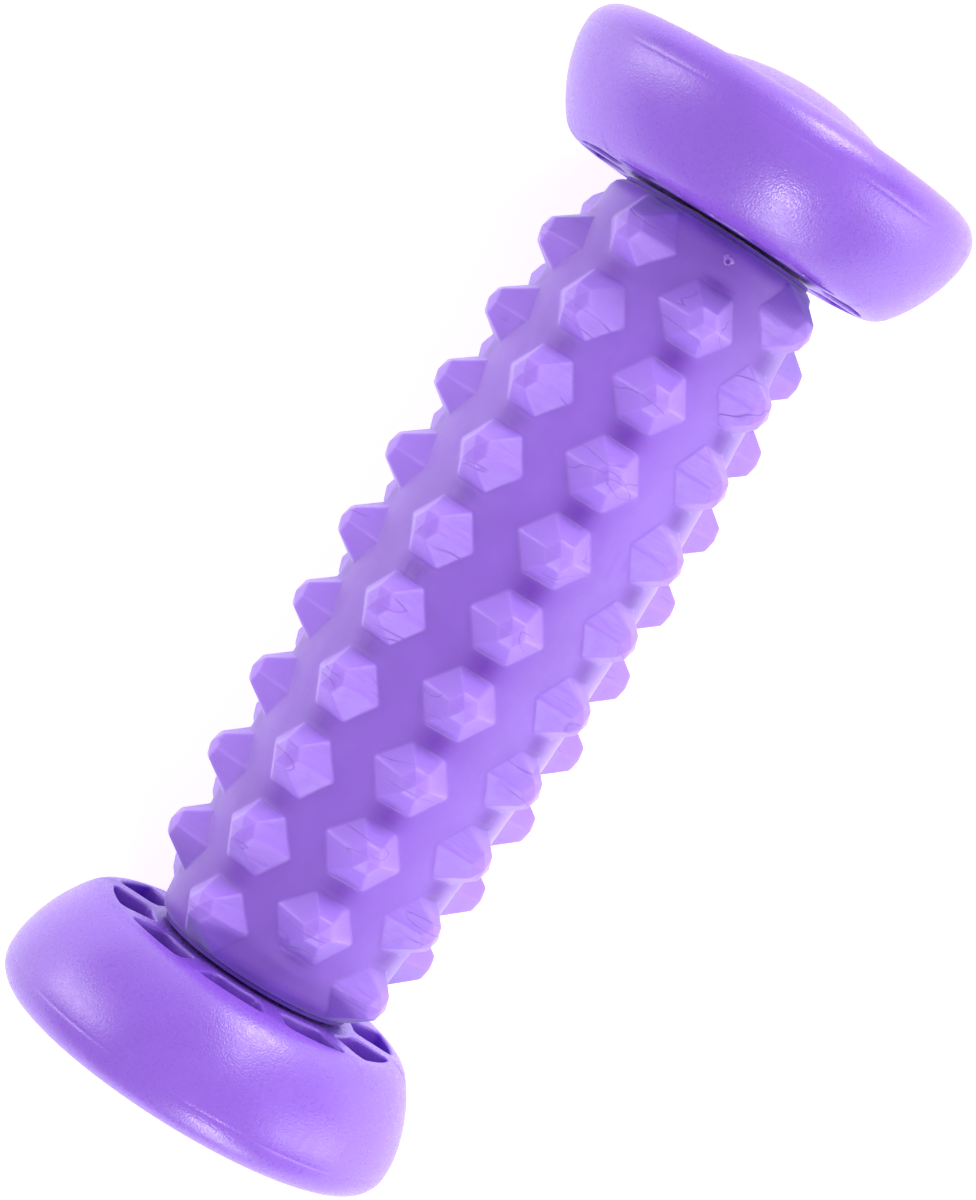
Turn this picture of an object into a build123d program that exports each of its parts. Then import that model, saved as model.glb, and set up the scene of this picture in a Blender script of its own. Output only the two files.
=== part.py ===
from build123d import *
import os
from math import sqrt

# Foot massage roller. A barrel with a soft nubbed sleeve turns freely on an axle between two round
# end caps. The caps are wider than the barrel, so the roller rides on them. All sizes are in mm.
#
# Each piece is drawn about the Z axis. A piece with a twin is drawn at the upper end, and its twin is
# the same moulding turned end for end. put_down() then lays the roller along +Y, upper end at +Y.
# Angles about the axle are counted from the top of the lying roller (+Z) towards +X.

# ---- Barrel: soft sleeve on a stiff core ----
barrel_length = 135.6
barrel_middle_radius = 22.0
barrel_end_radius = 18.1
sleeve_wall = 2.6
sleeve_corner = 2.2
core_wall = 2.5

# ---- Nubs: six-sided frustums with a low six-sided point ----
nub_row_count = 8
nubs_in_long_row = 10
nub_end_margin = 6.4
nub_first_row = 13.0
nub_height = 4.9
nub_shoulder_height = 4.1
nub_radius = 5.8
nub_shoulder_radius = 2.55
nub_root = 1.9

# ---- Core plugs ----
plug_rim_inset = 1.5
plug_rim_thickness = 0.6
plug_flange_thickness = 2.4
plug_spigot_length = 13.0
plug_wall = 1.6
plug_boss_wall = 2.4
plug_rib_count = 6
plug_rib_thickness = 1.6

# ---- Flanged bushes ----
bush_length = 12.0
bush_wall = 1.95
bush_flange_width = 2.0
bush_flange_thickness = 1.2

# ---- Axle and thrust washers ----
axle_radius = 5.0
axle_shoulder_step = 0.6
axle_flat_cut = 0.7
axle_chamfer = 0.4
tap_runout = 2.0
thrust_washer_thickness = 0.7
thrust_washer_width = 3.5

# ---- End caps ----
cap_radius = 35.0
cap_width = 21.3
cap_overhang = 7.1
cap_rim_land = 2.0
cap_flank_bulge = 26.0
cap_inner_corner = 5.5
cap_shoulder_corner = 12.0
cap_outer_corner = 4.8
cap_seam_turn = 1.37
hub_floor = 3.0
hub_height = 10.0
hub_radius = 9.0
hub_rib_count = 5
hub_rib_thickness = 2.0

# ---- Pockets in the caps' inner faces ----
pocket_count = 10
pocket_barrel_margin = 0.7
pocket_edge_margin = 2.2
pocket_depth = 14.0
pocket_rib = 4.0
pocket_outer_corner = 1.2
pocket_inner_corner = 1.6
pocket_turn = 2.5

# ---- Hub covers ----
cover_radius = 19.5
cover_dome_height = 4.6
cover_seat_depth = 1.6
cover_wall = 1.8
cover_well_radius = 16.2
cover_leg_count = 4
cover_leg_angle = 24.0
cover_leg_thickness = 1.5
cover_leg_clearance = 3.1
cover_hook_height = 1.5
cover_hook_depth = 0.7

# ---- Fasteners: M5 socket-head screw, plain washer, split washer ----
screw_radius = 2.5
screw_length = 16.0
screw_head_radius = 4.25
screw_head_height = 5.0
screw_socket_across_flats = 4.0
screw_socket_depth = 2.8
washer_width = 3.1
washer_thickness = 1.0
split_washer_width = 1.8
split_washer_thickness = 1.2
split_gap = 0.8

# ---- Clearances ----
running_fit = 0.05
seat_fit = 0.05
thread_fit = 0.05
washer_fit = 0.2
end_float = 0.6
thrust_gap = 0.3
cover_fit = 0.1
leg_fit = 0.3
cap_draw_in = 0.5

# ---- Heights above the middle of the axle, worked out from the sizes above ----
sleeve_end = barrel_length / 2
plug_face = sleeve_end + plug_rim_thickness
tube_end = plug_face - plug_flange_thickness
cap_face = plug_face + end_float
axle_shoulder = cap_face - thrust_washer_thickness
bush_face = axle_shoulder - thrust_gap
bush_flange_seat = bush_face - bush_flange_thickness
hub_top = cap_face + hub_height
axle_end = hub_top - cap_draw_in
washer_top = hub_top + washer_thickness
screw_seat = washer_top + split_washer_thickness
cap_outside = cap_face + cap_width
cover_seat = cap_outside - cover_seat_depth
cover_leg_end = hub_top + cover_leg_clearance

# ---- Radii worked out from the sizes above ----
core_radius = barrel_end_radius - sleeve_wall
core_bore_radius = core_radius - core_wall
plug_rim_radius = barrel_end_radius - plug_rim_inset
spigot_radius = core_bore_radius - seat_fit
bush_bore_radius = axle_radius + running_fit
bush_radius = bush_bore_radius + bush_wall
bush_flange_radius = bush_radius + bush_flange_width
plug_boss_radius = bush_radius + plug_boss_wall
axle_end_radius = axle_radius - axle_shoulder_step
axle_flat_height = axle_end_radius - axle_flat_cut
cap_face_radius = cap_radius - cap_overhang
pocket_inner_radius = barrel_end_radius + pocket_barrel_margin
pocket_outer_radius = cap_face_radius - pocket_edge_margin
dome_radius = (cover_radius**2 + cover_dome_height**2) / (2 * cover_dome_height)
cover_leg_radius = cover_well_radius - leg_fit
cover_hook_radius = cover_leg_radius + cover_hook_depth


def turned(*outline):
    """A solid turned about Z from a closed outline of (radius, height) points."""
    return revolve(make_face(Plane.XZ * Polyline(*outline, close=True)), Axis.Z)


def ring(inner_radius, outer_radius, bottom, top):
    """A plain ring about Z, or a disc if its inner radius is 0."""
    outer = Pos(0, 0, bottom) * extrude(Circle(outer_radius), amount=top - bottom)
    if inner_radius == 0:
        return outer
    return outer - Pos(0, 0, bottom) * extrude(Circle(inner_radius), amount=top - bottom)


def at_angle(angle):
    """Turns a piece that is drawn pointing along +X to an angle counted from the top."""
    return Rot(0, 0, angle - 90)


def spoke(length, thickness, bottom, top):
    """A straight rib from the axis out along +X."""
    return Pos(0, 0, bottom) * Box(
        length, thickness, top - bottom, align=(Align.MIN, Align.CENTER, Align.MIN)
    )


def barrel_radius_at(height):
    """The radius of the crowned barrel between its nubs."""
    crown = barrel_middle_radius - barrel_end_radius
    crown_radius = (sleeve_end**2 + crown**2) / (2 * crown)
    return barrel_middle_radius - crown_radius + sqrt(crown_radius**2 - height**2)


def nub():
    """One nub standing on the origin along +X, with two corners pointing round the barrel."""
    spread = (nub_radius - nub_shoulder_radius) / nub_shoulder_height
    root = Pos(0, 0, -nub_root) * RegularPolygon(nub_radius + spread * nub_root, 6, rotation=30)
    shoulder = Pos(0, 0, nub_shoulder_height) * RegularPolygon(nub_shoulder_radius, 6, rotation=30)
    frustum = loft([root.face(), shoulder.face()], ruled=True)
    point = loft([shoulder.face(), Vertex(0, 0, nub_height)], ruled=True)
    return Rot(0, 90, 0) * (frustum + point)


def nubs():
    """All the nubs, in straight rows that hold one nub fewer in every second row."""
    pitch = (barrel_length - 2 * nub_end_margin) / (nubs_in_long_row - 1)
    placed = []
    for row in range(nub_row_count):
        count = nubs_in_long_row - 1 + row % 2
        angle = nub_first_row + row * 360 / nub_row_count
        for number in range(count):
            height = (number - (count - 1) / 2) * pitch
            placed.append(at_angle(angle) * Pos(barrel_radius_at(height), 0, height) * nub())
    return placed


def massage_sleeve():
    """The soft sleeve: a crowned tube with rounded ends and all the nubs."""
    side = ThreePointArc(
        (barrel_end_radius, -sleeve_end), (barrel_middle_radius, 0), (barrel_end_radius, sleeve_end)
    )
    rest = Polyline(
        (barrel_end_radius, sleeve_end), (core_radius, sleeve_end),
        (core_radius, -sleeve_end), (barrel_end_radius, -sleeve_end),
    )
    section = make_face(side + rest)
    corners = section.vertices().group_by(Axis.X)[-1]
    section = fillet(corners, sleeve_corner)
    return revolve(Plane.XZ * section, Axis.Z) + nubs()


def core_tube():
    """The stiff tube inside the sleeve."""
    return ring(core_bore_radius, core_radius - seat_fit, -tube_end, tube_end)


def core_plug():
    """Closes the core's end, covers the sleeve's end and holds a bush."""
    spigot_end = tube_end - plug_spigot_length
    boss_end = bush_face - bush_length
    plug = ring(spigot_radius - plug_wall, spigot_radius, spigot_end, tube_end)
    for number in range(plug_rib_count):
        turn = Rot(0, 0, number * 360 / plug_rib_count)
        plug += turn * spoke(spigot_radius - plug_wall / 2, plug_rib_thickness, boss_end, tube_end)
    plug += ring(0, plug_boss_radius, boss_end, tube_end)
    plug += ring(0, core_radius - seat_fit, tube_end, plug_face)
    plug += ring(0, plug_rim_radius, sleeve_end, plug_face)
    plug -= ring(0, bush_radius + seat_fit, spigot_end, plug_face)
    return plug - ring(0, bush_flange_radius + seat_fit, bush_flange_seat, plug_face)


def bush():
    """A flanged plain bearing that runs on the axle."""
    sleeve = ring(bush_bore_radius, bush_radius, bush_face - bush_length, bush_face)
    return sleeve + ring(bush_bore_radius, bush_flange_radius, bush_flange_seat, bush_face)


def double_d(radius, flat_height, bottom, top):
    """A round bar with two flats that face along X."""
    bar = ring(0, radius, bottom, top)
    flats = Pos(0, 0, bottom) * Box(
        2 * flat_height, 2 * radius, top - bottom, align=(Align.CENTER, Align.CENTER, Align.MIN)
    )
    return bar & flats


def axle():
    """The steel rod, stepped down to a tapped double-D at each end."""
    rod = ring(0, axle_radius, -axle_shoulder, axle_shoulder)
    end = double_d(axle_end_radius, axle_flat_height, axle_shoulder, axle_end)
    end = chamfer(end.edges().group_by(Axis.Z)[-1], axle_chamfer)
    rod += [end, Rot(180, 0, 0) * end]
    hole_bottom = screw_seat - screw_length - tap_runout
    hole = ring(0, screw_radius + thread_fit, hole_bottom, axle_end)
    return rod - [hole, Rot(180, 0, 0) * hole]


def thrust_washer():
    """Keeps the spinning bush off the cap."""
    bore = axle_end_radius + seat_fit
    return ring(bore, bore + thrust_washer_width, axle_shoulder, cap_face)


def cap_blank():
    """The cap's outer form: flat faces, a bulging flared flank and a rounded outer corner."""
    flank_end = cap_outside - cap_outer_corner - cap_rim_land
    flank = RadiusArc((cap_face_radius, cap_face), (cap_radius, flank_end), -cap_flank_bulge)
    rest = Polyline(
        (cap_radius, flank_end), (cap_radius, cap_outside), (0, cap_outside),
        (0, cap_face), (cap_face_radius, cap_face),
    )
    section = make_face(flank + rest)
    rounded = (
        ((cap_face_radius, cap_face), cap_inner_corner),
        ((cap_radius, flank_end), cap_shoulder_corner),
        ((cap_radius, cap_outside), cap_outer_corner),
    )
    for (radius, height), size in rounded:
        corner = section.vertices().sort_by_distance((radius, height, 0))[0]
        section = fillet(corner, size)
    return revolve(Plane.XZ * section, Axis.Z)


def pocket():
    """The outline of one cored pocket. Parallel-sided ribs are left between it and its neighbours."""
    half_angle = 180 / pocket_count
    reach = 2 * cap_radius
    above = Pos(0, pocket_rib / 2) * Rectangle(reach, reach, align=(Align.CENTER, Align.MIN))
    below = Pos(0, -pocket_rib / 2) * Rectangle(reach, reach, align=(Align.CENTER, Align.MAX))
    sector = (Rot(0, 0, -half_angle) * above) & (Rot(0, 0, half_angle) * below)
    outline = (Circle(pocket_outer_radius) - Circle(pocket_inner_radius)) & sector
    widest = 0.4 * (pocket_outer_radius - pocket_inner_radius)
    outer_corners = outline.vertices().sort_by_distance((0, 0, 0))[-2:]
    outline = fillet(outer_corners, min(pocket_outer_corner, widest))
    inner_corners = outline.vertices().sort_by_distance((0, 0, 0))[:2]
    return fillet(inner_corners, min(pocket_inner_corner, widest))


def hub_core():
    """The hollow round the cap's hub, under the cover, crossed by ribs."""
    floor = cap_face + hub_floor
    hollow = ring(hub_radius, cover_well_radius, floor, hub_top)
    for number in range(hub_rib_count):
        turn = at_angle(number * 360 / hub_rib_count)
        hollow -= turn * spoke(cap_radius, hub_rib_thickness, floor, hub_top)
    return hollow


def end_cap():
    """A round cap, keyed to the axle, cored with pockets inside and with a covered well outside."""
    # With its seam turned by half a facet, a faceted copy of the round rim lies still on a facet.
    cap = Rot(0, 0, cap_seam_turn) * cap_blank()
    outline = Pos(0, 0, cap_face) * pocket()
    for number in range(pocket_count):
        turn = at_angle(pocket_turn + number * 360 / pocket_count)
        cap -= turn * extrude(outline, amount=pocket_depth)
    cap -= ring(0, cover_radius + cover_fit, cover_seat, cap_outside)
    cap -= ring(0, cover_well_radius, hub_top, cover_seat)
    cap -= ring(
        0, cover_hook_radius + cover_fit,
        cover_leg_end - cover_fit, cover_leg_end + cover_hook_height + cover_fit,
    )
    cap -= hub_core()
    return cap - double_d(
        axle_end_radius + seat_fit, axle_flat_height + seat_fit, cap_face, hub_top
    )


def hub_cover():
    """A shallow dome that closes the well, with legs that hook into a groove in its wall."""
    dome_middle = cap_outside + cover_dome_height - dome_radius
    disc = ring(0, cover_radius, cover_seat, cap_outside + cover_dome_height)
    cover = disc & Pos(0, 0, dome_middle) * Sphere(dome_radius)
    room = ring(0, cover_leg_radius - cover_leg_thickness, cover_seat, cap_outside + cover_dome_height)
    cover -= room & Pos(0, 0, dome_middle) * Sphere(dome_radius - cover_wall)
    hook_top = cover_leg_end + cover_hook_height
    legs = ring(cover_leg_radius - cover_leg_thickness, cover_leg_radius, cover_leg_end, cover_seat)
    legs += ring(cover_leg_radius - cover_leg_thickness, cover_hook_radius, cover_leg_end, hook_top)
    half_angle = cover_leg_angle / 2
    side = Pos(0, 0, cover_leg_end) * Box(
        cap_radius, cap_radius, cover_seat - cover_leg_end, align=(Align.MIN, Align.MAX, Align.MIN)
    )
    wedge = (Rot(0, 0, half_angle) * side) & (Rot(0, 0, 90 - half_angle) * side)
    for number in range(cover_leg_count):
        cover += Rot(0, 0, number * 360 / cover_leg_count) * (legs & wedge)
    return cover


def plain_washer():
    """Spreads the screw's pull over the cap's hub."""
    bore = screw_radius + washer_fit
    return ring(bore, bore + washer_width, hub_top, washer_top)


def spring_washer():
    """A split lock washer, pressed flat."""
    bore = screw_radius + washer_fit / 2
    washer = ring(bore, bore + split_washer_width, washer_top, screw_seat)
    return washer - spoke(2 * screw_head_radius, split_gap, washer_top, screw_seat)


def cap_screw():
    """A socket-head screw into the end of the axle."""
    head_top = screw_seat + screw_head_height
    screw = ring(0, screw_radius, screw_seat - screw_length, screw_seat)
    screw += ring(0, screw_head_radius, screw_seat, head_top)
    socket = RegularPolygon(screw_socket_across_flats / 2, 6, major_radius=False)
    return screw - Pos(0, 0, head_top - screw_socket_depth) * extrude(socket, amount=screw_socket_depth)


def put_down(piece):
    """Lays a piece down so that its Z axis points along +Y."""
    return Rot(-90, 0, 0) * piece


middle_pieces = {"massage_sleeve": massage_sleeve, "core_tube": core_tube, "axle": axle}
twin_pieces = {
    "core_plug": core_plug,
    "bush": bush,
    "thrust_washer": thrust_washer,
    "end_cap": end_cap,
    "hub_cover": hub_cover,
    "plain_washer": plain_washer,
    "spring_washer": spring_washer,
    "cap_screw": cap_screw,
}

os.makedirs("parts", exist_ok=True)
for name, make in middle_pieces.items():
    export_step(put_down(make()), f"parts/{name}.step")
for name, make in twin_pieces.items():
    piece = make()
    export_step(put_down(piece), f"parts/{name}_right.step")
    export_step(put_down(Rot(180, 0, 0) * piece), f"parts/{name}_left.step")
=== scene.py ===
import math
import bmesh
import bpy
import numpy as np
from mathutils import Matrix, Vector


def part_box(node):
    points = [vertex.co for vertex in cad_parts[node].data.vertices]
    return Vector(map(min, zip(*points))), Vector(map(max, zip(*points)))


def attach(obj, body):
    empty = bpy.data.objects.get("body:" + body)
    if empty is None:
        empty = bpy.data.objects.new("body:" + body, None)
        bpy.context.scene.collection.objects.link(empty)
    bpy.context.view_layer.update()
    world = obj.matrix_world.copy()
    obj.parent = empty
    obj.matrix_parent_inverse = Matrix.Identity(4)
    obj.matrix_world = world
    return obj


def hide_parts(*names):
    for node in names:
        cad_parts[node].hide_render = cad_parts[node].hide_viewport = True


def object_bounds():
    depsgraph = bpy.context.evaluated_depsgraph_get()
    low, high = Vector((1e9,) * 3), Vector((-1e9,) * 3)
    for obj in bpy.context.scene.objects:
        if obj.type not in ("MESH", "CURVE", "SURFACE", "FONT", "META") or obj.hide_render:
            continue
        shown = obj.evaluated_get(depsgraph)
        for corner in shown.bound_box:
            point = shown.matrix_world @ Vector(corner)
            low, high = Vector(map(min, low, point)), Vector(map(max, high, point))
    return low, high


# Foot massage roller: the looks. Metres throughout. The roller lies along +Y, and angles round its
# axle are counted from the top (+Z) towards +X. A sector of each moulding is drawn in code, and
# Geometry Nodes repeat it round the axle.

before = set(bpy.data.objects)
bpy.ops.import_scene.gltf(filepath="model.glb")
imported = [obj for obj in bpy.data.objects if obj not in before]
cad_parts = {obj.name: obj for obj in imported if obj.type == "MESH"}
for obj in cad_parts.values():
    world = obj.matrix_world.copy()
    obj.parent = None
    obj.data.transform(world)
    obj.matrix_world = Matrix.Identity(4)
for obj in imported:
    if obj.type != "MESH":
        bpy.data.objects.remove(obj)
cad_low, cad_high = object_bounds()

MM = 0.001
sleeve_low, sleeve_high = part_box("massage_sleeve")
cap_low, cap_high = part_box("end_cap_right")

# ---- Barrel and nubs ----
sleeve_end = sleeve_high.y
barrel_middle_radius = 22.0 * MM
barrel_end_radius = 18.1 * MM
sleeve_bore_radius = 15.5 * MM
sleeve_corner = 2.2 * MM
row_pairs = 4
nubs_in_long_row = 10
nub_end_margin = 6.4 * MM
nub_first_row = math.radians(13.0)
nub_height = 4.9 * MM
nub_shoulder_height = 4.1 * MM
nub_radius = 5.8 * MM
nub_shoulder_radius = 2.55 * MM
nub_edge = 0.42 * MM
nub_foot = 0.35 * MM
nub_corner_sharpness = 30
nub_tip_drop = 0.06 * MM
nub_point_radius = 0.3 * MM
nub_point_drop = 0.12 * MM
nub_corner_reach = 4.0
# Painted shade: how wide the darkened gap between nubs of one row is, and where it starts and rises.
hollow_reach = 2.7 * MM
hollow_start = 4.5 * MM
hollow_rise = 1.6 * MM
scar_angle = math.radians(11.0)
scar_end_margin = 3.1 * MM
scar_sink = 0.05 * MM
scar_pip_height = 0.06 * MM
scar_pip_radius = 0.4
scar_radii = (0.10, 0.22, 0.34, 0.48, 0.60, 0.74, 0.95)
scar_heights = (0.06, 0.07, 0.13, 0.19, 0.17, 0.09, 0.0)

# ---- End caps ----
cap_face = cap_low.y
cap_outside = cap_high.y
cap_radius = cap_high.z
cap_face_radius = cap_radius - 7.1 * MM
cap_rim_land = 2.0 * MM
cap_flank_bulge = 26.0 * MM
cap_inner_corner_reach = 2.5 * MM
cap_shoulder_reach = 0.9 * MM
cap_outer_corner = 4.8 * MM
cap_bore_radius = 4.6 * MM
cap_hub_height = 10.0 * MM
cap_face_inset = 1.6 * MM
cap_hub_radius = 10.0 * MM
cap_outside_rings = (25.0 * MM, 21.0 * MM)
parting_groove = 0.05 * MM
parting_groove_half_width = 0.15 * MM
parting_groove_setback = 0.5 * MM
cover_seat_edge = 0.2 * MM
cover_seat_radius = 19.6 * MM
cover_seat_depth = 1.6 * MM
cover_well_radius = 16.2 * MM
pocket_count = 10
pocket_turn = math.radians(2.5)
pocket_inner_radius = 18.8 * MM
pocket_outer_radius = 25.7 * MM
pocket_depth = 14.0 * MM
pocket_rib = 4.0 * MM
pocket_outer_corner = 1.2 * MM
pocket_inner_corner = 1.6 * MM
pocket_rim = 0.55 * MM
pocket_floor_corner = 0.9 * MM

# ---- Mesh density ----
border_steps = 12
half_border = border_steps // 2
spokes_per_side = (0.0, 2.2, 6.0, 14.0, 30.0, 46.0, 54.0, 57.8)
weld_distance = 0.004 * MM
rim_share_limit = 0.45


class Moulding:
    """Gathers the points and faces of one piece, and masks that say where its features are."""

    def __init__(self, *masks):
        self.points = []
        self.faces = []
        self.masks = {name: [] for name in masks}

    def row(self, points, **values):
        """Adds a row of points and returns their numbers. A mask is one value or one for each point."""
        start = len(self.points)
        self.points.extend(tuple(float(c) for c in point) for point in points)
        count = len(self.points) - start
        for name, kept in self.masks.items():
            kept.extend(float(v) for v in np.broadcast_to(values.get(name, 0.0), count))
        return list(range(start, start + count))

    def band(self, first, second, closed=False):
        """Joins two rows with four-sided faces."""
        count = len(first)
        for i in range(count if closed else count - 1):
            j = (i + 1) % count
            self.faces.append((first[i], first[j], second[j], second[i]))

    def bands(self, rows, closed=False):
        for first, second in zip(rows, rows[1:]):
            self.band(first, second, closed)

    def fan(self, middle, ring):
        """Joins one point to a closed ring."""
        for i, corner in enumerate(ring):
            self.faces.append((middle, corner, ring[(i + 1) % len(ring)]))

    def mesh(self, name):
        mesh = bpy.data.meshes.new(name)
        mesh.from_pydata(self.points, [], self.faces)
        for mask, values in self.masks.items():
            mesh.attributes.new(mask, "FLOAT", "POINT").data.foreach_set("value", values)
        return mesh


def around(angle, radius, y):
    """Points at an angle and radius about the axle, at y along it."""
    return np.stack(np.broadcast_arrays(radius * np.sin(angle), y, radius * np.cos(angle)), axis=-1)


def softened(start, corner, end, steps=5):
    """Rows of points that round a corner between a start and an end."""
    return [(1 - t) ** 2 * start + 2 * t * (1 - t) * corner + t * t * end
            for t in np.linspace(0, 1, steps)]


def border(low, high):
    """The points of a tile's border, from the middle of its high-u side round towards +v."""
    step = np.arange(half_border) / half_border
    whole = np.arange(border_steps) / half_border
    side, half_side = np.ones(border_steps), np.ones(half_border)
    u = np.concatenate([half_side, 1 - whole, -side, whole - 1, half_side])
    v = np.concatenate([step, side, 1 - whole, -side, step - 1])
    return (low[0] + (high[0] - low[0]) * (u + 1) / 2, low[1] + (high[1] - low[1]) * (v + 1) / 2)


# ---------------------------------------------------------------- the sleeve

def crown(y):
    """The barrel's radius between its nubs."""
    rise = barrel_middle_radius - barrel_end_radius
    radius = (sleeve_end**2 + rise**2) / (2 * rise)
    return barrel_middle_radius - radius + np.sqrt(radius**2 - np.asarray(y) ** 2)


def sleeve_surface(angle, path):
    """A point on the sleeve's skin. The path runs along the barrel and round its end corners."""
    corner_start = sleeve_end - sleeve_corner
    inside = np.minimum(np.abs(path), corner_start)
    bend = np.maximum(np.abs(path) - corner_start, 0) / sleeve_corner
    radius = crown(inside) - sleeve_corner * (1 - np.cos(bend))
    y = np.sign(path) * (inside + sleeve_corner * np.sin(bend))
    return around(angle, radius, y)


def hexagon(direction):
    """How far a hexagon with slightly soft corners reaches, for a corner-to-centre size of 1."""
    sides = np.radians(np.arange(30, 390, 60))
    facing = np.maximum(np.cos(direction[:, None] - sides), 0)
    blend = np.sum(facing**nub_corner_sharpness, axis=1) ** (1 / nub_corner_sharpness)
    return math.cos(math.radians(30)) / blend


def add_nub(sleeve, angle, y, half_angle, half_pitch):
    """One nub and the patch of skin round it, up to the borders that it shares with its neighbours."""
    spokes = np.radians([60 * side + a for side in range(6) for a in spokes_per_side])
    reach = hexagon(spokes)
    spread = (nub_radius - nub_shoulder_radius) / nub_shoulder_height
    base_radius = crown(y)

    def on_nub(size, height):
        across, along = reach * size * np.cos(spokes), reach * size * np.sin(spokes)
        out = base_radius + height
        turned = angle + np.arctan2(across, out)
        return around(turned, np.hypot(across, out), y + along)

    size = np.full(len(spokes), nub_radius)
    for _ in range(12):
        across, along = reach * size * np.cos(spokes), reach * size * np.sin(spokes)
        drop = np.sqrt(crown(np.clip(y + along, -sleeve_end, sleeve_end)) ** 2 - across**2) - base_radius
        size = nub_radius - spread * drop
    foot_angle = angle + np.arctan2(across, base_radius + drop)
    foot_path = y + along
    edge_angle, edge_path = border((angle - half_angle, y - half_pitch), (angle + half_angle, y + half_pitch))

    def towards_edge(share):
        return foot_angle + (edge_angle - foot_angle) * share, foot_path + (edge_path - foot_path) * share

    def on_skin(share):
        return sleeve_surface(*towards_edge(share))

    def shade_between_nubs(share):
        """Rises to 1 in the narrow gap between this nub and the next in its row, where the sleeve gets
        painted shade.
        """
        skin_angle, skin_path = towards_edge(share)
        across = (skin_angle - angle) * base_radius
        along = np.abs(skin_path - y)
        return np.exp(-(across / hollow_reach) ** 2) * np.clip((along - hollow_start) / hollow_rise, 0, 1)

    slope = np.array([nub_radius - nub_shoulder_radius, -nub_shoulder_height])
    slope = slope / np.linalg.norm(slope)
    point = np.array([nub_shoulder_radius, nub_shoulder_height - nub_height])
    point = point / np.linalg.norm(point)
    shoulder = np.array([nub_shoulder_radius, nub_shoulder_height])
    above, below = shoulder - nub_edge * point, shoulder + nub_edge * slope
    near_corner = np.tile([max(0.0, 1 - min(a, 60 - a) / nub_corner_reach) for a in spokes_per_side], 6)

    # The nub mask marks the nub for its paler painted glow, which stands in for light passing through it.
    rows = []
    # The edge-highlight mask marks the nub's tip, shoulder and corners for a painted highlight.
    tip_point = around(angle, base_radius + nub_height - nub_tip_drop, np.array([y]))
    tip = sleeve.row(tip_point, nub=1, ridge=0.6)[0]
    rows.append(sleeve.row(on_nub(nub_point_radius, nub_height - nub_point_drop), nub=1, ridge=0.5))
    middle = (above + np.array([0, nub_height])) / 2
    rows.append(sleeve.row(on_nub(middle[0], middle[1]), nub=1, ridge=near_corner * 0.8))
    for i, (radius, height) in enumerate(softened(above, shoulder, below)):
        ridge = np.maximum(near_corner, (0.3, 0.8, 1.0, 0.8, 0.3)[i])
        rows.append(sleeve.row(on_nub(radius, height), nub=1, ridge=ridge))
    foot_start = size - nub_foot * slope[0]
    for share in (0.35, 0.7):
        radius = below[0] + (foot_start - below[0]) * share
        rows.append(sleeve.row(on_nub(radius, (nub_radius - radius) / spread), nub=1, ridge=near_corner))
    first = on_nub(foot_start, (nub_radius - foot_start) / spread)
    corner = on_nub(size, drop)
    width = np.linalg.norm(on_skin(1.0) - corner, axis=1)
    share = np.minimum(nub_foot / width, rim_share_limit)
    # The foot and skin rows carry the painted-shade mask, which reaches 1 in the gap to the next nub in the
    # row.
    for i, points in enumerate(softened(first, corner, on_skin(share))):
        fade = 1 - i / 4
        ridge = near_corner * max(0.0, fade - 0.4)
        rows.append(sleeve.row(points, nub=fade, ridge=ridge, hollow=shade_between_nubs(share * (1 - fade))))
    for step in (0.25, 0.5, 0.75, 1.0):
        along = share + (1 - share) * step
        rows.append(sleeve.row(on_skin(along), hollow=shade_between_nubs(along)))
    sleeve.fan(tip, rows[0])
    sleeve.bands(rows, closed=True)


def sleeve_sector():
    """A pair of nub rows, one short and one long, with the sleeve's ends and bore behind them."""
    sleeve = Moulding("nub", "ridge", "hollow")
    pitch = (2 * sleeve_end - 2 * nub_end_margin) / (nubs_in_long_row - 1)
    half_angle = math.pi / row_pairs / 2
    tiled = pitch * nubs_in_long_row / 2
    for row, count in enumerate((nubs_in_long_row - 1, nubs_in_long_row)):
        angle = nub_first_row + row * 2 * half_angle
        for number in range(count):
            y = (number - (count - 1) / 2) * pitch
            add_nub(sleeve, angle, y, half_angle, pitch / 2)
        if count < nubs_in_long_row:
            angles = angle + np.linspace(-half_angle, half_angle, border_steps + 1)
            for end in (-1, 1):
                stations = end * np.linspace(tiled - pitch / 2, tiled, half_border + 1)
                sleeve.bands([sleeve.row(sleeve_surface(angles, s)) for s in stations])
    angles = nub_first_row + np.linspace(-half_angle, 3 * half_angle, 2 * border_steps + 1)
    face_path = sleeve_end - sleeve_corner + sleeve_corner * math.pi / 2
    face_radius = crown(sleeve_end - sleeve_corner) - sleeve_corner
    rows = [sleeve.row(sleeve_surface(angles, tiled)), sleeve.row(sleeve_surface(angles, face_path))]
    bore = [((face_radius + sleeve_bore_radius) / 2, 1.0), (sleeve_bore_radius, 1.0)]
    bore += [(sleeve_bore_radius, share) for share in (0.95, 0.5, 0.0, -0.5, -0.95, -1.0)]
    bore += [((face_radius + sleeve_bore_radius) / 2, -1.0)]
    rows += [sleeve.row(around(angles, radius, share * sleeve_end)) for radius, share in bore]
    rows += [sleeve.row(sleeve_surface(angles, -face_path)), sleeve.row(sleeve_surface(angles, -tiled))]
    sleeve.bands(rows)
    return sleeve.mesh("massage_sleeve_sector")


# ---------------------------------------------------------------- the end caps

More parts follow.
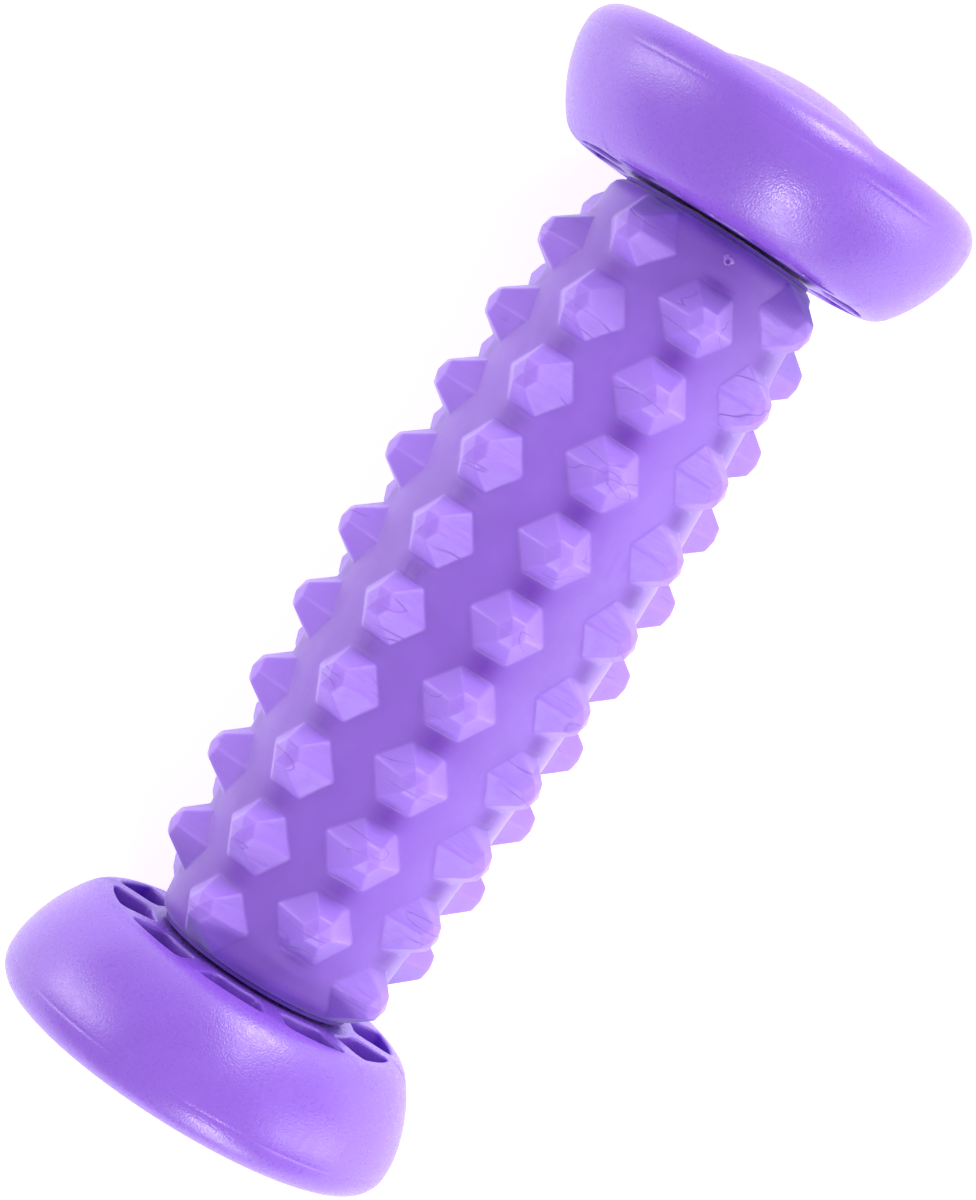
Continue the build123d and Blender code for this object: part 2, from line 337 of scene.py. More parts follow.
def cap_side():
    """The cap's outline from its inner face over the flank to the rim, as dense (radius, height)."""
    flank_end = cap_outside - cap_face - cap_outer_corner - cap_rim_land
    start, end = np.array([cap_face_radius, 0.0]), np.array([cap_radius, flank_end])
    chord = end - start
    length = np.linalg.norm(chord)
    outward = np.array([chord[1], -chord[0]]) / length
    middle = (start + end) / 2 - outward * math.sqrt(cap_flank_bulge**2 - length**2 / 4)
    first, last = (math.atan2(*(p - middle)[::-1]) for p in (start, end))
    turn = cap_inner_corner_reach / cap_flank_bulge
    last_turn = cap_shoulder_reach / cap_flank_bulge
    arc = [middle + cap_flank_bulge * np.array([math.cos(a), math.sin(a)])
           for a in np.linspace(first + turn, last - last_turn, 60)]
    inner = np.array([cap_face_radius - cap_inner_corner_reach, 0.0])
    land = np.array([cap_radius, flank_end + cap_shoulder_reach])
    flat = [np.array([pocket_inner_radius - cap_face_inset, 0.0])]
    corner, shoulder = softened(inner, start, arc[0], 24), softened(arc[-1], end, land, 12)
    return np.array(flat + corner + arc[1:-1] + shoulder)


def pocket_outline():
    """A pocket's outline as (angle, radius), from the middle of its outer side round and back."""
    half = math.pi / pocket_count
    side = -pocket_rib / 2

    def corner(size, reach):
        along = math.sqrt(reach**2 - (side - size) ** 2)
        middle = np.array([along, side - size])
        return middle, np.array([along, side])

    outer, outer_side = corner(pocket_outer_corner, pocket_outer_radius - pocket_outer_corner)
    inner, inner_side = corner(pocket_inner_corner, pocket_inner_radius + pocket_inner_corner)
    outer_touch = outer / np.linalg.norm(outer) * pocket_outer_radius
    inner_touch = inner / np.linalg.norm(inner) * pocket_inner_radius

    def turn(start, end, middle, steps):
        a, b = (math.atan2(*(p - middle)[::-1]) for p in (start, end))
        radius = np.linalg.norm(start - middle)
        if abs(b - a) > math.pi:
            b += 2 * math.pi if b < a else -2 * math.pi
        return [middle + radius * np.array([math.cos(t), math.sin(t)])
                for t in np.linspace(a, b, steps + 1)]

    origin = np.zeros(2)
    outer_middle = pocket_outer_radius * np.array([math.cos(-half), math.sin(-half)])
    inner_middle = pocket_inner_radius * np.array([math.cos(-half), math.sin(-half)])
    line = turn(outer_middle, outer_touch, origin, 4)
    line += turn(outer_touch, outer_side, outer, 6)[1:]
    line += [outer_side + (inner_side - outer_side) * t for t in np.linspace(0, 1, 6)[1:]]
    line += turn(inner_side, inner_touch, inner, 4)[1:]
    line += turn(inner_touch, inner_middle, origin, 5)[1:]
    line = np.array(line)
    angle = np.arctan2(line[:, 1], line[:, 0]) + half
    radius = np.hypot(line[:, 0], line[:, 1])
    return np.concatenate([angle, -angle[-2:0:-1]]), np.concatenate([radius, radius[-2:0:-1]])


def cap_sector():
    """One pocket's share of an end cap, all the way round its section."""
    cap = Moulding("ridge", "pocket")
    side = cap_side()
    path = np.concatenate([[0], np.cumsum(np.linalg.norm(np.diff(side, axis=0), axis=1))])
    half = math.pi / pocket_count
    tile_end = path[-1] * 0.5

    def outline_at(at):
        return np.interp(at, path, side[:, 0]), cap_face + np.interp(at, path, side[:, 1])

    def on_side(angle, at):
        return around(pocket_turn + angle, *outline_at(at))

    angle, radius = pocket_outline()
    mouth = np.interp(radius, side[:, 0], path)
    lip = np.interp(radius, side[:, 0], side[:, 1])
    edge_path, edge_angle = border((0.0, -half), (tile_end, half))

    def on_skin(share):
        return on_side(angle + (edge_angle - angle) * share, mouth + (edge_path - mouth) * share)

    pocket_middle = (pocket_inner_radius + pocket_outer_radius) / 2

    def in_pocket(shrink, depth):
        shrunk = pocket_middle + (radius - pocket_middle) * shrink
        return around(pocket_turn + angle * shrink, shrunk, cap_face + depth)

    floor = pocket_depth
    deep = floor - pocket_floor_corner
    # The pocket mask sets painted shade and a rougher finish inside the pocket, fading up its walls and onto
    # the rim.
    rows = [cap.row(in_pocket(share, floor), pocket=1) for share in (0.4, 0.72)]
    inset = 1 - pocket_floor_corner / ((pocket_outer_radius - pocket_inner_radius) / 2)
    for points in softened(in_pocket(inset, floor), in_pocket(1, floor), in_pocket(1, deep), 4):
        rows.append(cap.row(points, pocket=1))
    for share in (0.35, 0.7, 0.9):
        rows.append(cap.row(in_pocket(1, deep + (lip + pocket_rim - deep) * share), pocket=1 - share * 0.6))
    width = np.linalg.norm(on_skin(1.0) - on_skin(0.0), axis=1)
    share = np.minimum(pocket_rim / width, rim_share_limit)
    rim = softened(in_pocket(1, lip + pocket_rim), in_pocket(1, lip), on_skin(share), 6)
    # The rim rows carry the edge-highlight mask for a painted highlight on the pocket rims, and a little of
    # the pocket's painted shade.
    for i, points in enumerate(rim):
        rows.append(cap.row(points, pocket=0.3 * (1 - i / 5), ridge=1 - abs(i - 3) / 3))
    for step in (0.2, 0.45, 0.72, 1.0):
        rows.append(cap.row(on_skin(share + (1 - share) * step)))
    floor_middle = around(pocket_turn, pocket_middle, np.array([cap_face + floor]))
    cap.fan(cap.row(floor_middle, pocket=1)[0], rows[0])
    cap.bands(rows, closed=True)

    angles = pocket_turn + np.linspace(-half, half, border_steps + 1)
    seat = cap_outside - cover_seat_depth
    hub = cap_face + cap_hub_height
    corner_y = cap_outside - cap_outer_corner
    groove_y = corner_y - parting_groove_setback
    outline = [outline_at(at) for at in np.linspace(tile_end, path[-1], 16)]
    outline += [(cap_radius, groove_y - parting_groove_half_width), (cap_radius - parting_groove, groove_y),
                (cap_radius, groove_y + parting_groove_half_width)]
    outline += [(cap_radius - cap_outer_corner * (1 - math.cos(a)), corner_y + cap_outer_corner * math.sin(a))
                for a in np.linspace(0, math.pi / 2, 11)]
    edge = cover_seat_edge
    outline += [(ring, cap_outside) for ring in (*cap_outside_rings, cover_seat_radius + edge)]
    outline += [(cover_seat_radius + edge * 0.3, cap_outside - edge * 0.3)]
    outline += [(cover_seat_radius, height) for height in (cap_outside - edge, seat)]
    outline += [(cover_well_radius, height) for height in (seat, hub)]
    outline += [(radius, hub) for radius in (cap_hub_radius, cap_bore_radius)]
    outline += [(radius, cap_face) for radius in (cap_bore_radius, cap_hub_radius, side[0, 0])]
    cap.bands([cap.row(around(angles, r, y)) for r, y in outline])
    return cap.mesh("end_cap_sector")


def gate_scar():
    """The ragged ring and sunk pip that the moulding gate leaves on the sleeve, past a short row's end."""
    scar = Moulding("nub", "ridge", "hollow")
    y = sleeve_end - scar_end_margin
    base = crown(y) - scar_sink
    turns = np.linspace(0, 2 * math.pi, 25)[:-1]
    rows = []
    for radius, height in zip(scar_radii, scar_heights):
        ragged = 1 + 0.16 * np.sin(3 * turns + 60 * radius) + 0.09 * np.sin(7 * turns)
        across, along = radius * MM * ragged * np.cos(turns), radius * MM * ragged * np.sin(turns)
        points = around(scar_angle + across / base, base + height * MM, y + along)
        # The ring takes the paler painted glow and the painted highlight; the centre and the pip take the
        # painted shade.
        ring = float(radius > scar_pip_radius)
        rows.append(scar.row(points, nub=ring, ridge=ring, hollow=1 - ring))
    pip = around(scar_angle, base + scar_pip_height, np.array([y]))
    scar.fan(scar.row(pip, hollow=1)[0], rows[0])
    scar.bands(rows, closed=True)
    return scar.mesh("gate_scar")


# ---------------------------------------------------------------- repeating a sector round the axle

def repeat_tree():
    """Geometry Nodes that turn copies of a sector about the Y axis and weld them into one moulding."""
    tree = bpy.data.node_groups.new("Repeat Round Axle", "GeometryNodeTree")
    face = tree.interface
    face.new_socket("Sector", in_out="INPUT", socket_type="NodeSocketGeometry")
    face.new_socket("Copies", in_out="INPUT", socket_type="NodeSocketInt")
    face.new_socket("Weld Distance", in_out="INPUT", socket_type="NodeSocketFloat")
    face.new_socket("Finish", in_out="INPUT", socket_type="NodeSocketMaterial")
    face.new_socket("Moulding", in_out="OUTPUT", socket_type="NodeSocketGeometry")
    nodes, links = tree.nodes, tree.links
    given, made = nodes.new("NodeGroupInput"), nodes.new("NodeGroupOutput")
    line = nodes.new("GeometryNodeMeshLine")
    line.inputs["Offset"].default_value = (0, 0, 0)
    share = nodes.new("ShaderNodeMath")
    share.operation = "DIVIDE"
    share.inputs[0].default_value = 2 * math.pi
    turn = nodes.new("ShaderNodeMath")
    turn.operation = "MULTIPLY"
    number, about_y = nodes.new("GeometryNodeInputIndex"), nodes.new("ShaderNodeCombineXYZ")
    place = nodes.new("GeometryNodeInstanceOnPoints")
    realize, weld = nodes.new("GeometryNodeRealizeInstances"), nodes.new("GeometryNodeMergeByDistance")
    smooth, finish = nodes.new("GeometryNodeSetShadeSmooth"), nodes.new("GeometryNodeSetMaterial")
    links.new(given.outputs["Copies"], line.inputs["Count"])
    links.new(given.outputs["Copies"], share.inputs[1])
    links.new(number.outputs["Index"], turn.inputs[0])
    links.new(share.outputs[0], turn.inputs[1])
    links.new(turn.outputs[0], about_y.inputs["Y"])
    links.new(line.outputs["Mesh"], place.inputs["Points"])
    links.new(given.outputs["Sector"], place.inputs["Instance"])
    links.new(about_y.outputs["Vector"], place.inputs["Rotation"])
    links.new(place.outputs["Instances"], realize.inputs["Geometry"])
    links.new(realize.outputs["Geometry"], weld.inputs["Geometry"])
    links.new(given.outputs["Weld Distance"], weld.inputs["Distance"])
    links.new(weld.outputs["Geometry"], smooth.inputs["Geometry"])
    links.new(smooth.outputs["Geometry"], finish.inputs["Geometry"])
    links.new(given.outputs["Finish"], finish.inputs["Material"])
    links.new(finish.outputs["Geometry"], made.inputs["Moulding"])
    return tree


def tidy_normals(mesh, sharp_angle=50.0):
    """Welds what still lies apart, points every face outwards and keeps the hard corners hard."""
    work = bmesh.new()
    work.from_mesh(mesh)
    bmesh.ops.remove_doubles(work, verts=work.verts, dist=weld_distance)
    bmesh.ops.recalc_face_normals(work, faces=work.faces)
    work.to_mesh(mesh)
    work.free()
    mesh.set_sharp_from_angle(angle=math.radians(sharp_angle))


def shown(name, mesh):
    """Puts a finished mesh in the scene, with its place in its points."""
    piece = bpy.data.objects.new(name, mesh)
    bpy.context.scene.collection.objects.link(piece)
    return piece


def repeated(name, mesh, copies, material):
    """A piece made of copies of one sector, as a plain mesh."""
    sector = shown(name + "_sector", mesh)
    repeat = sector.modifiers.new("Repeat Round Axle", "NODES")
    repeat.node_group = repeat_round_axle
    sockets = {s.name: s.identifier for s in repeat_round_axle.interface.items_tree if s.in_out == "INPUT"}
    repeat[sockets["Copies"]] = copies
    repeat[sockets["Weld Distance"]] = weld_distance
    repeat[sockets["Finish"]] = material
    graph = bpy.context.evaluated_depsgraph_get()
    turned = sector.evaluated_get(graph)
    result = bpy.data.meshes.new_from_object(turned, preserve_all_data_layers=True, depsgraph=graph)
    sector.modifiers.remove(repeat)
    bpy.data.objects.remove(sector)
    result.name = name
    tidy_normals(result)
    return shown(name, result)


# ---------------------------------------------------------------- shader node groups

def shader_group(name, inputs, outputs):
    """An empty shader node group with named sockets. Returns the group and its two end nodes."""
    group = bpy.data.node_groups.new(name, "ShaderNodeTree")
    kinds = {"float": "NodeSocketFloat", "color": "NodeSocketColor", "vector": "NodeSocketVector"}
    for label, kind, value in inputs:
        socket = group.interface.new_socket(label, in_out="INPUT", socket_type=kinds[kind])
        if value is not None:
            socket.default_value = value
    for label, kind in outputs:
        group.interface.new_socket(label, in_out="OUTPUT", socket_type=kinds[kind])
    return group, group.nodes.new("NodeGroupInput"), group.nodes.new("NodeGroupOutput")


def feed(tree, socket, value):
    """Sets a socket, or links it if the value is another socket."""
    if isinstance(value, bpy.types.NodeSocket):
        tree.links.new(value, socket)
    else:
        socket.default_value = value


def calc(tree, operation, *values, clamp=False):
    node = tree.nodes.new("ShaderNodeMath")
    node.operation, node.use_clamp = operation, clamp
    for socket, value in zip(node.inputs, values):
        feed(tree, socket, value)
    return node.outputs[0]


def blended(tree, share, first, second):
    """Mixes two colours."""
    node = tree.nodes.new("ShaderNodeMix")
    node.data_type = "RGBA"
    feed(tree, node.inputs[0], share)
    feed(tree, node.inputs[6], first)
    feed(tree, node.inputs[7], second)
    return node.outputs[2]


def noise(tree, vector, scale, detail=2.0, roughness=0.5, distortion=0.0):
    node = tree.nodes.new("ShaderNodeTexNoise")
    for label, value in (("Vector", vector), ("Scale", scale), ("Detail", detail), ("Roughness", roughness),
                         ("Distortion", distortion)):
        feed(tree, node.inputs[label], value)
    return node.outputs["Fac"]


def ranged(tree, value, low, high, to_low=0.0, to_high=1.0):
    """Maps a value smoothly from one range to another."""
    node = tree.nodes.new("ShaderNodeMapRange")
    node.interpolation_type = "SMOOTHSTEP"
    for socket, given in zip(node.inputs, (value, low, high, to_low, to_high)):
        feed(tree, socket, given)
    return node.outputs[0]


def spark_grain():
    """The pebbled grain that spark erosion leaves in a mould. Size is the grain's own size."""
    group, given, made = shader_group(
        "Spark Grain",
        [("Vector", "vector", None), ("Size", "float", 0.4 * MM)],
        [("Height", "float"), ("Tone", "float")])
    scale = calc(group, "DIVIDE", 1.0, given.outputs["Size"])
    fine = noise(group, given.outputs["Vector"], scale, 0.0, 0.5)
    broad = noise(group, given.outputs["Vector"], calc(group, "MULTIPLY", scale, 0.37), 2.0, 0.5)
    height = calc(group, "ADD", calc(group, "MULTIPLY", fine, 0.7), calc(group, "MULTIPLY", broad, 0.3))
    group.links.new(ranged(group, height, 0.22, 0.78), made.inputs["Height"])
    group.links.new(ranged(group, broad, 0.3, 0.7), made.inputs["Tone"])
    return group


def flow_tint():
    """The slow drift of colour in a moulding, and a painted highlight along its edges where the edge mask is
    set.
    """
    group, given, made = shader_group(
        "Flow Tint",
        [("Vector", "vector", None), ("Deep", "color", (0, 0, 0, 1)), ("Pale", "color", (1, 1, 1, 1)),
         ("Edge", "color", (1, 1, 1, 1)), ("Size", "float", 20 * MM), ("Edge Mask", "float", 0.0)],
        [("Color", "color"), ("Drift", "float")])
    scale = calc(group, "DIVIDE", 1.0, given.outputs["Size"])
    drift = ranged(group, noise(group, given.outputs["Vector"], scale, 3.0, 0.55, 0.6), 0.3, 0.7)
    body = blended(group, drift, given.outputs["Deep"], given.outputs["Pale"])
    edged = blended(group, given.outputs["Edge Mask"], body, given.outputs["Edge"])
    group.links.new(edged, made.inputs["Color"])
    group.links.new(drift, made.inputs["Drift"])
    return group


def flow_marks():
    """Where the melt folded as it filled a nub: thin creases on some nubs, and a gentle waviness on all."""
    group, given, made = shader_group(
        "Flow Marks",
        [("Vector", "vector", None), ("Spacing", "float", 6 * MM), ("Mask", "float", 1.0)],
        [("Line", "float"), ("Wave", "float")])
    scale = calc(group, "DIVIDE", 1.0, given.outputs["Spacing"])
    stretch = group.nodes.new("ShaderNodeMapping")
    stretch.inputs["Scale"].default_value = (0.3, 1.3, 0.3)
    group.links.new(given.outputs["Vector"], stretch.inputs["Vector"])
    field = noise(group, stretch.outputs["Vector"], scale, 1.0, 0.4, 0.15)
    away = calc(group, "ABSOLUTE", calc(group, "SUBTRACT", field, 0.50))
    line = ranged(group, away, 0.0, 0.010, 1.0, 0.0)
    patches = noise(group, given.outputs["Vector"], calc(group, "MULTIPLY", scale, 0.45), 1.0)
    crease = calc(group, "MULTIPLY", line, ranged(group, patches, 0.49, 0.57))
    group.links.new(calc(group, "MULTIPLY", crease, given.outputs["Mask"]), made.inputs["Line"])
    wave = noise(group, stretch.outputs["Vector"], calc(group, "MULTIPLY", scale, 3.2), 2.0, 0.5, 0.4)
    group.links.new(calc(group, "MULTIPLY", wave, given.outputs["Mask"]), made.inputs["Wave"])
    return group


def scuffs():
    """Fine rubbing in long streaks, as a roughness change."""
    group, given, made = shader_group(
        "Scuffs", [("Vector", "vector", None), ("Strength", "float", 0.1)], [("Change", "float")])
    stretch = group.nodes.new("ShaderNodeMapping")
    stretch.inputs["Scale"].default_value = (1.0, 0.12, 1.0)
    group.links.new(given.outputs["Vector"], stretch.inputs["Vector"])
    streak = ranged(group, noise(group, stretch.outputs["Vector"], 900.0, 2.0), 0.45, 0.7)
    patch = ranged(group, noise(group, given.outputs["Vector"], 70.0, 2.0), 0.4, 0.65)
    change = calc(group, "MULTIPLY", calc(group, "MULTIPLY", streak, patch), given.outputs["Strength"])
    group.links.new(change, made.inputs["Change"])
    return group


class Finish:
    """A material with a Principled shader, a set of node groups and one chain of bumps."""

    def __init__(self, name):
        self.material = bpy.data.materials.new(name)
        self.material.use_nodes = True
        self.tree = self.material.node_tree
        self.shader = self.tree.nodes["Principled BSDF"]
        self.place = self.tree.nodes.new("ShaderNodeTexCoord").outputs["Object"]
        self.normal = None

    def uses(self, group, **values):
        node = self.tree.nodes.new("ShaderNodeGroup")
        node.node_tree = group
        if "Vector" in node.inputs:
            self.tree.links.new(self.place, node.inputs["Vector"])
        for label, value in values.items():
            feed(self.tree, node.inputs[label.replace("_", " ")], value)
        return node.outputs

    def mask(self, name):
        node = self.tree.nodes.new("ShaderNodeAttribute")
        node.attribute_name = name
        return node.outputs["Fac"]

    def bump(self, height, distance, strength=1.0, sunk=False):
        node = self.tree.nodes.new("ShaderNodeBump")
        node.invert = sunk
        node.inputs["Distance"].default_value = distance
        node.inputs["Strength"].default_value = strength
        self.tree.links.new(height, node.inputs["Height"])
        if self.normal is not None:
            self.tree.links.new(self.normal, node.inputs["Normal"])
        self.normal = node.outputs["Normal"]
        feed(self.tree, self.shader.inputs["Normal"], self.normal)

    def set(self, **values):
        for label, value in values.items():
            feed(self.tree, self.shader.inputs[label.replace("_", " ")], value)


# ---------------------------------------------------------------- materials

sleeve_deep = (0.240, 0.086, 0.605, 1)
sleeve_pale = (0.278, 0.108, 0.685, 1)
# Painted glow: the paler colour of the nubs, for the light that passes through them.
nub_painted_glow = (0.365, 0.172, 0.815, 1)
# Painted highlight: the colour laid along the nubs' edges.
sleeve_edge_highlight = (0.450, 0.245, 0.910, 1)
crease_dark = (0.140, 0.036, 0.440, 1)
plastic_deep = (0.245, 0.084, 0.650, 1)
plastic_pale = (0.280, 0.104, 0.720, 1)
# Painted highlight: the colour laid along the pocket rims.
plastic_edge_highlight = (0.360, 0.165, 0.830, 1)
pocket_shade = (0.150, 0.003, 0.600, 1)
sleeve_shade = (0.150, 0.001, 0.480, 1)
scatter_radius = (0.7, 0.4, 1.2)


def sleeve_gel():
    """Soft satin elastomer with folded flow lines on the nubs; its colour holds a paler painted glow on the
    nubs for the light that passes through them, a painted highlight along their edges and painted shade in
    the gaps between them.
    """
    finish = Finish("sleeve_gel")
    tree = finish.tree
    # Painted highlight: the edge-highlight mask lightens the nubs' tips, shoulders and corners towards the
    # edge colour.
    ridge = calc(tree, "MULTIPLY", finish.mask("ridge"), 0.35)
    tint = finish.uses(groups["tint"], Deep=sleeve_deep, Pale=sleeve_pale, Edge=sleeve_edge_highlight, Size=26 * MM)
    # Painted glow: the nub mask makes the nubs paler, standing in for the light that passes through them.
    glowing = blended(tree, calc(tree, "MULTIPLY", finish.mask("nub"), 0.85), tint["Color"], nub_painted_glow)
    # Painted shade: the painted-shade mask darkens the colour in the gaps between nubs of one row.
    shaded = blended(tree, calc(tree, "MULTIPLY", finish.mask("hollow"), 0.8), glowing, sleeve_shade)
    edged = blended(tree, ridge, shaded, sleeve_edge_highlight)
    grain = finish.uses(groups["grain"], Size=0.5 * MM)
    marks = finish.uses(groups["marks"], Spacing=5.5 * MM, Mask=finish.mask("nub"))
    rub = finish.uses(groups["scuffs"], Strength=0.10)
    satin = calc(tree, "ADD", 0.42, rub["Change"])
    finish.set(
        Base_Color=blended(tree, calc(tree, "MULTIPLY", marks["Line"], 0.35), edged, crease_dark),
        Roughness=calc(tree, "ADD", satin, calc(tree, "MULTIPLY", grain["Tone"], 0.06)),
        Subsurface_Weight=0.25, Subsurface_Radius=scatter_radius, Subsurface_Scale=1.6 * MM,
        Specular_IOR_Level=0.8, Sheen_Weight=0.4, Sheen_Roughness=0.45)
    finish.bump(marks["Line"], 0.10 * MM, 0.8, sunk=True)
    finish.bump(marks["Wave"], 0.22 * MM, 0.6)
    finish.bump(grain["Height"], 0.012 * MM, 0.5)
    return finish.material


def cap_plastic(name):
    """Hard satin-gloss plastic over a fine pebbled mould grain, with painted shade inside the pockets and a
    painted highlight on their rims.
    """
    finish = Finish(name)
    tree = finish.tree
    # Painted highlight: the edge-highlight mask lightens the colour along the pocket rims.
    ridge = calc(tree, "MULTIPLY", finish.mask("ridge"), 0.5)
    tint = finish.uses(
        groups["tint"], Deep=plastic_deep, Pale=plastic_pale, Edge=plastic_edge_highlight, Edge_Mask=ridge,
        Size=30 * MM)
    grain = finish.uses(groups["grain"], Size=0.30 * MM)
    rub = finish.uses(groups["scuffs"], Strength=0.08)
    pocket = finish.mask("pocket")
    satin = calc(tree, "ADD", 0.26, rub["Change"])
    grainy = calc(tree, "ADD", satin, calc(tree, "MULTIPLY", grain["Tone"], 0.08))
    # Painted shade: the pocket mask turns the colour to the deep pocket shade inside the pockets.
    finish.set(
        Base_Color=blended(tree, pocket, tint["Color"], pocket_shade),
        Roughness=calc(tree, "ADD", grainy, calc(tree, "MULTIPLY", pocket, 0.4)),
        Subsurface_Weight=0.08, Subsurface_Radius=scatter_radius, Subsurface_Scale=1.2 * MM,
        Specular_IOR_Level=1.0)
    finish.bump(grain["Height"], 0.021 * MM, 1.0)
    return finish.material


def plain_plastic(name, deep, pale, roughness):
    """A hidden moulding: matt, with ejector-side drift and grain."""
    finish = Finish(name)
    tree = finish.tree
    tint = finish.uses(groups["tint"], Deep=deep, Pale=pale, Edge=pale, Size=12 * MM)
    grain = finish.uses(groups["grain"], Size=0.3 * MM)
    finish.set(
        Base_Color=tint["Color"],
        Roughness=calc(tree, "ADD", roughness, calc(tree, "MULTIPLY", grain["Tone"], 0.1)))
    finish.bump(grain["Height"], 0.015 * MM, 0.6)
    return finish.material


def steel(name, deep, pale, roughness):
    """Drawn or plated steel, with drawing lines along the axle."""
    finish = Finish(name)
    tree = finish.tree
    tint = finish.uses(groups["tint"], Deep=deep, Pale=pale, Edge=pale, Size=8 * MM)
    rub = finish.uses(groups["scuffs"], Strength=0.25)
    finish.set(Base_Color=tint["Color"], Metallic=1.0, Roughness=calc(tree, "ADD", roughness, rub["Change"]))
    finish.bump(rub["Change"], 0.01 * MM, 0.5)
    return finish.material


def stage_paper():
    """The pale, matt sheet that the roller lies on."""
    finish = Finish("stage_paper")
    tint = finish.uses(
        groups["tint"], Deep=(0.93, 0.93, 0.94, 1), Pale=(0.96, 0.96, 0.96, 1), Edge=(1, 1, 1, 1),
        Size=200 * MM)
    finish.set(Base_Color=tint["Color"], Roughness=0.9, Emission_Color=tint["Color"], Emission_Strength=0.50)
    return finish.material


def dress(nodes, material):
    """Gives carried-over CAD nodes their material."""
    for node in nodes:
        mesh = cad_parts[node].data
        mesh.materials.clear()
        mesh.materials.append(material)


# ---------------------------------------------------------------- camera, stage and lights

camera_place = (0.00014, 0.0390, 0.581)
camera_pitch = math.radians(3.779)
camera_roll = math.radians(32.2)
camera_sensor = 36.0
camera_lens = 111.0
floor_half_width = 2.4
floor_reach = 1.6
backdrop_bend = 0.4
backdrop_rise = 1.2


def look(location, forward, up):
    """A rotation and place that look along forward, with up at the top."""
    forward, up = Vector(forward).normalized(), Vector(up)
    right = forward.cross(up).normalized()
    up = right.cross(forward)
    turn = Matrix((right, up, -forward)).transposed().to_4x4()
    return Matrix.Translation(location) @ turn


def add_camera():
    """Looks straight down at the roller, a little towards its right end, turned so that it lies aslant."""
    pitch, roll = camera_pitch, camera_roll
    forward = Vector((0, -math.sin(pitch), -math.cos(pitch)))
    upright = Vector((0, math.cos(pitch), -math.sin(pitch)))
    up = math.cos(roll) * upright - math.sin(roll) * Vector((1, 0, 0))
    data = bpy.data.cameras.new("camera")
    data.sensor_fit, data.sensor_height, data.lens = "VERTICAL", camera_sensor, camera_lens
    camera = bpy.data.objects.new("camera", data)
    bpy.context.scene.collection.objects.link(camera)
    camera.matrix_world = look(Vector(camera_place), forward, up)
    bpy.context.scene.camera = camera


def add_softbox(name, direction, distance, size, power):
    """A soft area light that faces the roller from a direction."""
    data = bpy.data.lights.new(name, "AREA")
    data.shape, data.size, data.size_y, data.energy = "RECTANGLE", size[0], size[1], power
    light = bpy.data.objects.new(name, data)
    bpy.context.scene.collection.objects.link(light)
    away = Vector(direction).normalized()
    up = Vector((0, 1, 0)) if abs(away.y) < 0.9 else Vector((0, 0, 1))
    light.matrix_world = look(away * distance, -away, up)


def add_floor(material):
    """A wide floor just under the caps, which curves up into a backdrop far behind."""
    outline = [(-floor_reach, 0.0), (0.0, 0.0), (floor_reach, 0.0)]
    outline += [(floor_reach + backdrop_bend * math.sin(a), backdrop_bend * (1 - math.cos(a)))
                for a in np.linspace(0, math.pi / 2, 9)[1:]]
    outline.append((floor_reach + backdrop_bend, backdrop_rise))
    across = np.linspace(-floor_half_width, floor_half_width, 5)
    sheet = Moulding()
    rows = [sheet.row([(x, y, cad_low.z + z) for x in across]) for y, z in outline]
    sheet.bands(rows)
    floor = shown("stage_floor", sheet.mesh("stage_floor"))
    floor.data.materials.append(material)
    for polygon in floor.data.polygons:
        polygon.use_smooth = True


def light_world(strength):
    world = bpy.data.worlds.new("studio")
    world.use_nodes = True
    world.node_tree.nodes["Background"].inputs["Color"].default_value = (1.0, 1.0, 1.0, 1)
    world.node_tree.nodes["Background"].inputs["Strength"].default_value = strength
    bpy.context.scene.world = world


# ---------------------------------------------------------------- the build

repeat_round_axle = repeat_tree()
groups = {"grain": spark_grain(), "tint": flow_tint(), "marks": flow_marks(), "scuffs": scuffs()}

gel = sleeve_gel()
cap_finish, cover_finish = cap_plastic("cap_plastic"), cap_plastic("cover_plastic")
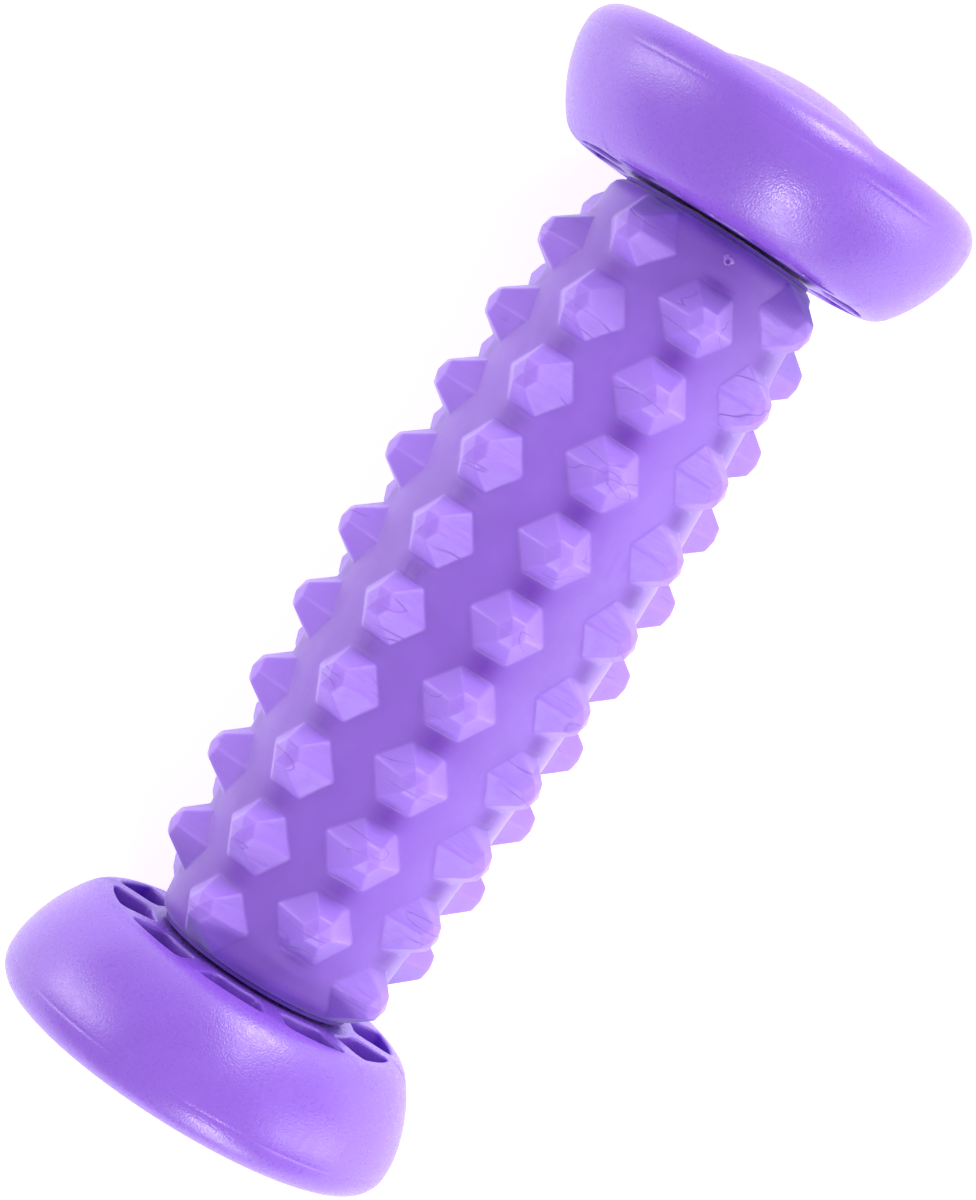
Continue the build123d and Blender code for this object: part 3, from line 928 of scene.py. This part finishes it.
# The core plastic is given a deep colour as painted shade, so that the plug rims in the gap at each barrel
# end read as shaded.
core_finish = plain_plastic("core_plastic", (0.13, 0.03, 0.42, 1), (0.15, 0.04, 0.46, 1), 0.55)
bearing_finish = plain_plastic("bearing_plastic", (0.80, 0.78, 0.70, 1), (0.86, 0.85, 0.80, 1), 0.40)
axle_finish = steel("axle_steel", (0.50, 0.50, 0.52, 1), (0.60, 0.60, 0.62, 1), 0.28)
plated_finish = steel("plated_steel", (0.60, 0.61, 0.64, 1), (0.70, 0.71, 0.72, 1), 0.35)

sleeve = repeated("massage_sleeve_skin", sleeve_sector(), row_pairs, gel)
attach(sleeve, "barrel")
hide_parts("massage_sleeve")

scar = shown("gate_scar", gate_scar())
scar.data.materials.append(gel)
tidy_normals(scar.data)
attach(scar, "barrel")

cap_mesh = cap_sector()
for end, turn in (("right", Matrix.Identity(4)), ("left", Matrix.Rotation(math.pi, 4, "X"))):
    cap = repeated("end_cap_shell_" + end, cap_mesh.copy(), pocket_count, cap_finish)
    cap.data.transform(turn)
    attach(cap, "carriage")
    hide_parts("end_cap_" + end)

ends = ("left", "right")
dress([f"hub_cover_{end}" for end in ends], cover_finish)
dress(["core_tube"] + [f"core_plug_{end}" for end in ends], core_finish)
dress([f"{part}_{end}" for part in ("bush", "thrust_washer") for end in ends], bearing_finish)
dress(["axle"], axle_finish)
fasteners = ("plain_washer", "spring_washer", "cap_screw")
dress([f"{part}_{end}" for part in fasteners for end in ends], plated_finish)

add_camera()
add_floor(stage_paper())
light_world(0.58)
add_softbox("fill_right_end", (0.28, 0.87, 0.40), 0.9, (0.40, 0.30), 2.8)
add_softbox("fill_left_end", (0.34, -0.87, 0.40), 0.9, (0.40, 0.30), 1.8)
add_softbox("key_right_end", (0.28, 0.64, 0.72), 0.9, (0.10, 0.12), 0.6)
add_softbox("key_left_end", (0.32, -0.68, 0.735), 0.9, (0.12, 0.12), 1.6)
add_softbox("side_right", (1.0, 0.0, 0.27), 1.1, (0.9, 0.4), 3.3)
add_softbox("side_left", (-1.0, 0.0, 0.27), 1.1, (0.9, 0.4), 4.0)
bpy.context.scene.view_settings.view_transform = "Standard"
